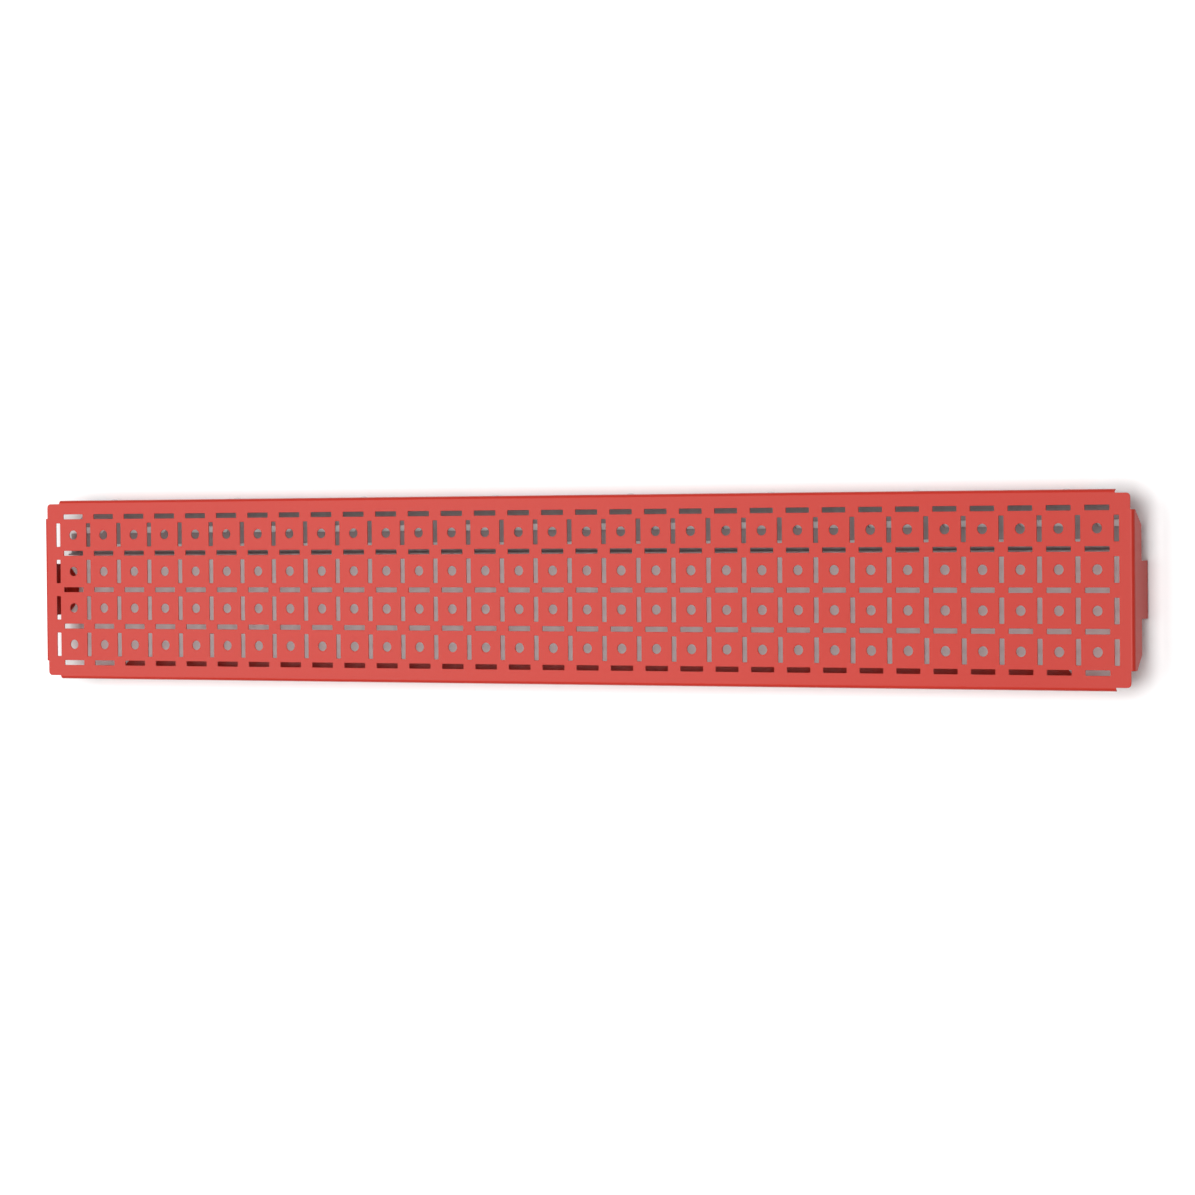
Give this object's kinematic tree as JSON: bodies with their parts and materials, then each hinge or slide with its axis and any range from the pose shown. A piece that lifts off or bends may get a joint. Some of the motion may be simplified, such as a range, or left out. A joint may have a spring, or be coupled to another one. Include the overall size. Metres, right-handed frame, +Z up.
{
  "type": "scaffold plank",
  "caption": "Perforated steel scaffold plank: one sheet folded down on all sides, with chamfered lips, tabbed end flanges and a punched galvanised stiffener riveted inside its rear flange.",
  "frame": {"origin": "centre of the plank's length and width, on the plane that its lips and end tabs rest on", "axes": "+X along the plank, +Y to the rear flange that carries the stiffener, +Z up out of the deck"},
  "size_m": [1.566, 0.2414, 0.048],
  "materials": {
    "red_paint": "satin red powder coat with a fine orange peel",
    "galvanised_steel": "dull hot-dip zinc with a faint spangle",
    "rivet_alloy": "bright drawn rivet alloy",
    "mandrel_steel": "zinc-plated steel wire"
  },
  "bodies": {
    "root": {"deck": "red_paint", "front_flange": "red_paint", "front_lip": "red_paint", "rear_flange": "red_paint", "rear_lip": "red_paint", "left_end_flange": "red_paint", "right_end_flange": "red_paint", "rear_stiffener": "galvanised_steel", "rivet_body_1": "rivet_alloy", "rivet_body_2": "rivet_alloy", "rivet_body_3": "rivet_alloy", "rivet_body_4": "rivet_alloy", "rivet_body_5": "rivet_alloy", "rivet_body_6": "rivet_alloy", "rivet_body_7": "rivet_alloy", "rivet_body_8": "rivet_alloy", "rivet_mandrel_1": "mandrel_steel", "rivet_mandrel_2": "mandrel_steel", "rivet_mandrel_3": "mandrel_steel", "rivet_mandrel_4": "mandrel_steel", "rivet_mandrel_5": "mandrel_steel", "rivet_mandrel_6": "mandrel_steel", "rivet_mandrel_7": "mandrel_steel", "rivet_mandrel_8": "mandrel_steel"}
  },
  "joints": []
}
